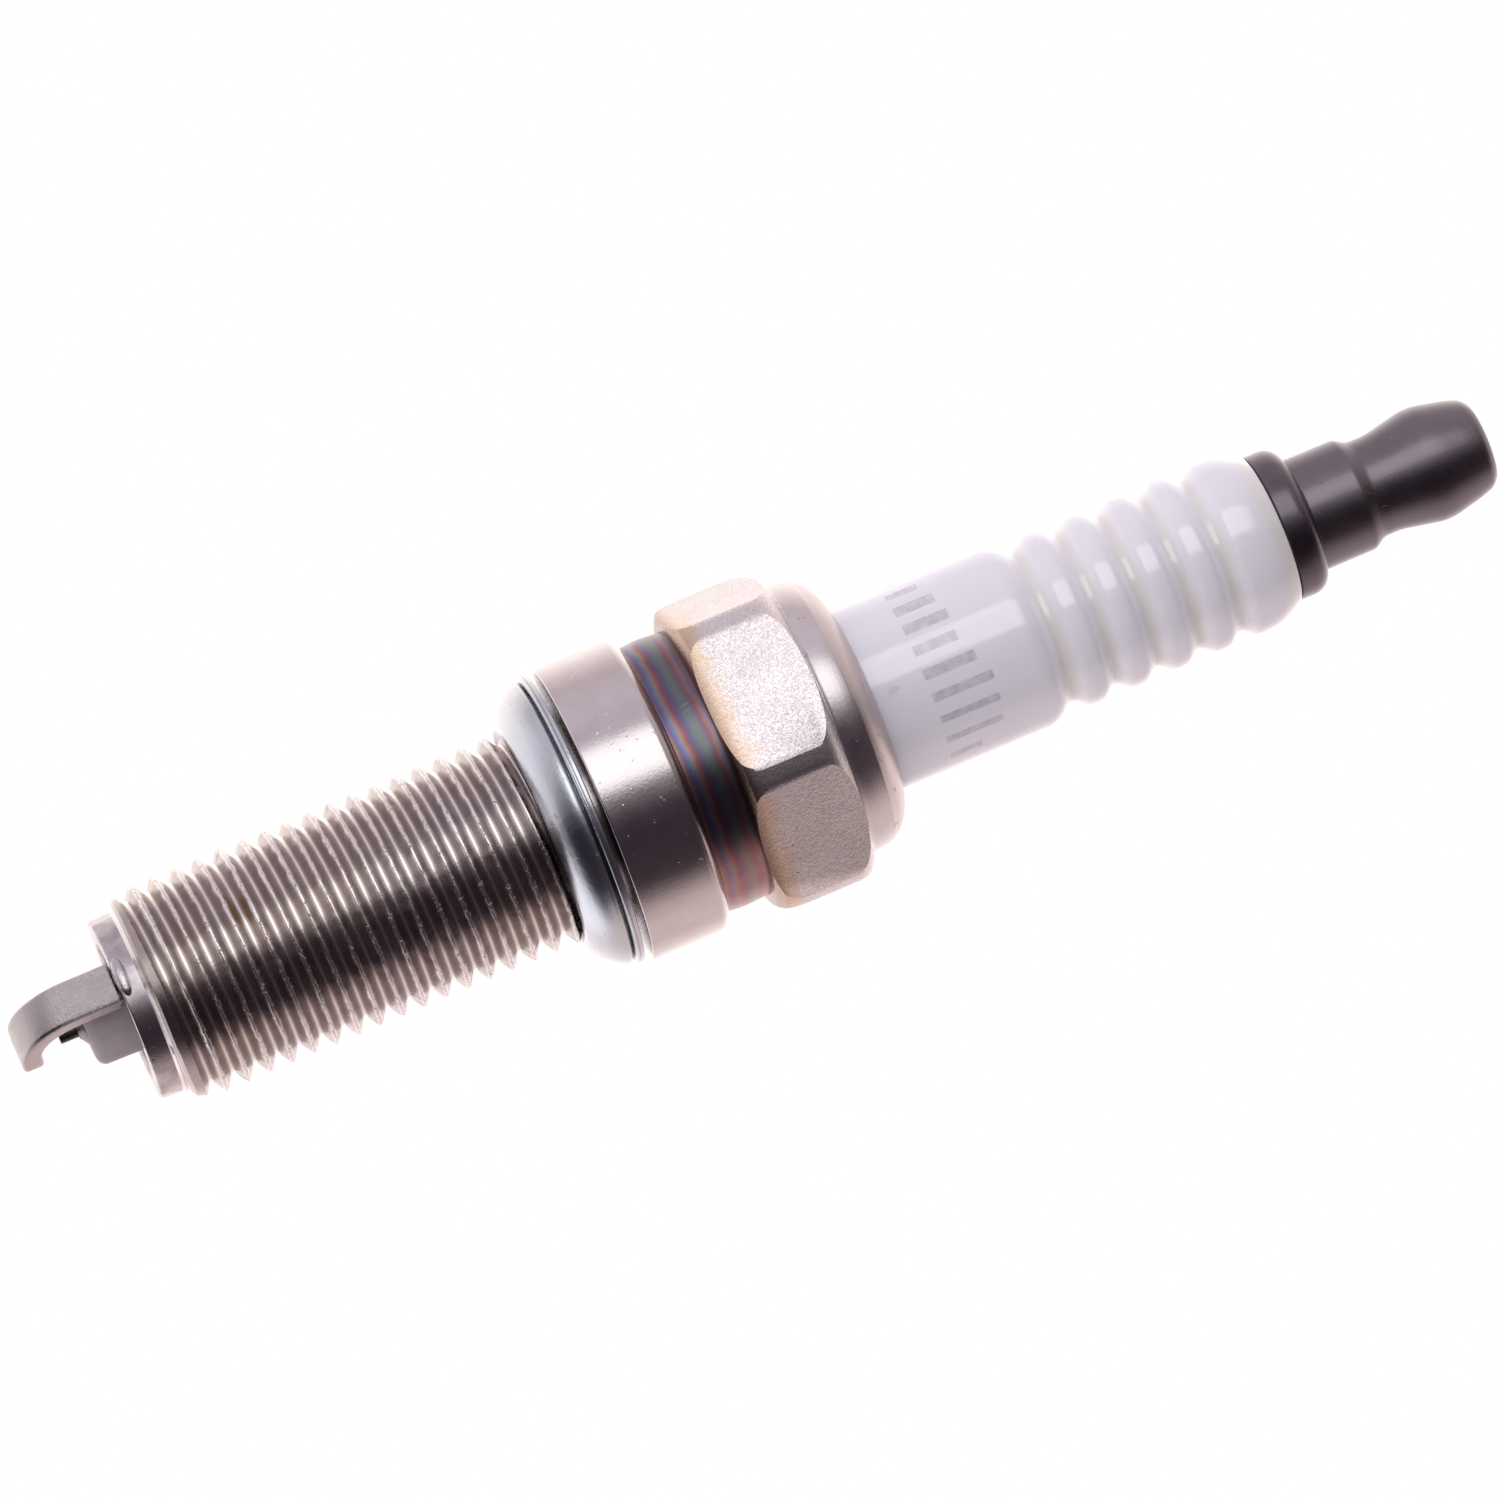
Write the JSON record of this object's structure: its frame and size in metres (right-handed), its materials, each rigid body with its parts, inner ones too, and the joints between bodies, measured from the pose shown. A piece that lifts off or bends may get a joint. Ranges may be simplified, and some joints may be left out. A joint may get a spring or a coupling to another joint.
{
  "type": "spark plug",
  "caption": "Long-reach spark plug: threaded steel shell with captive gasket and hexagon, ribbed ceramic insulator, clip-on terminal, fine-wire centre electrode and bent ground strap.",
  "frame": {"origin": "on the axis, in the plane of the collar's sealing face, where the plug seats in a cylinder head", "axes": "+Z along the plug's axis towards the terminal; one flat of the hexagon faces -Y and the ground strap stands within 2 degrees of -Y"},
  "size_m": [0.0178, 0.0166, 0.084],
  "materials": {
    "plated_steel": "nickel-plated steel, satin, nicked along the thread crests, heat-tinted at the waist",
    "zinc_plate": "bright zinc plate",
    "nickel_alloy": "granular blasted nickel alloy",
    "glazed_alumina": "white alumina with a clear gloss glaze, bare and matt on the firing-end nose",
    "copper": "bare copper",
    "iridium": "dark fine-grained iridium alloy",
    "conductive_glass": "copper-filled sealing glass",
    "carbon_resistor": "carbon-glass resistor mix",
    "terminal_steel": "satin nickel-plated steel, dark",
    "packing_steel": "plain steel",
    "talc": "pressed powder"
  },
  "bodies": {
    "plug": {"metal_shell": "plated_steel", "ground_electrode": "nickel_alloy", "insulator": "glazed_alumina", "center_electrode": "nickel_alloy", "center_electrode_core": "copper", "iridium_pin": "iridium", "lower_glass_seal": "conductive_glass", "resistor": "carbon_resistor", "upper_glass_seal": "conductive_glass", "terminal_stud": "terminal_steel", "seat_packing": "packing_steel", "lower_packing_ring": "packing_steel", "talc_packing": "talc", "upper_packing_ring": "packing_steel"},
    "gasket": {"gasket": "zinc_plate"}
  },
  "joints": [
    {"name": "gasket_float", "type": "slide", "parent": "plug", "child": "gasket", "axis": [0, 0, 1], "range_m": [0, 0.00033]}
  ]
}
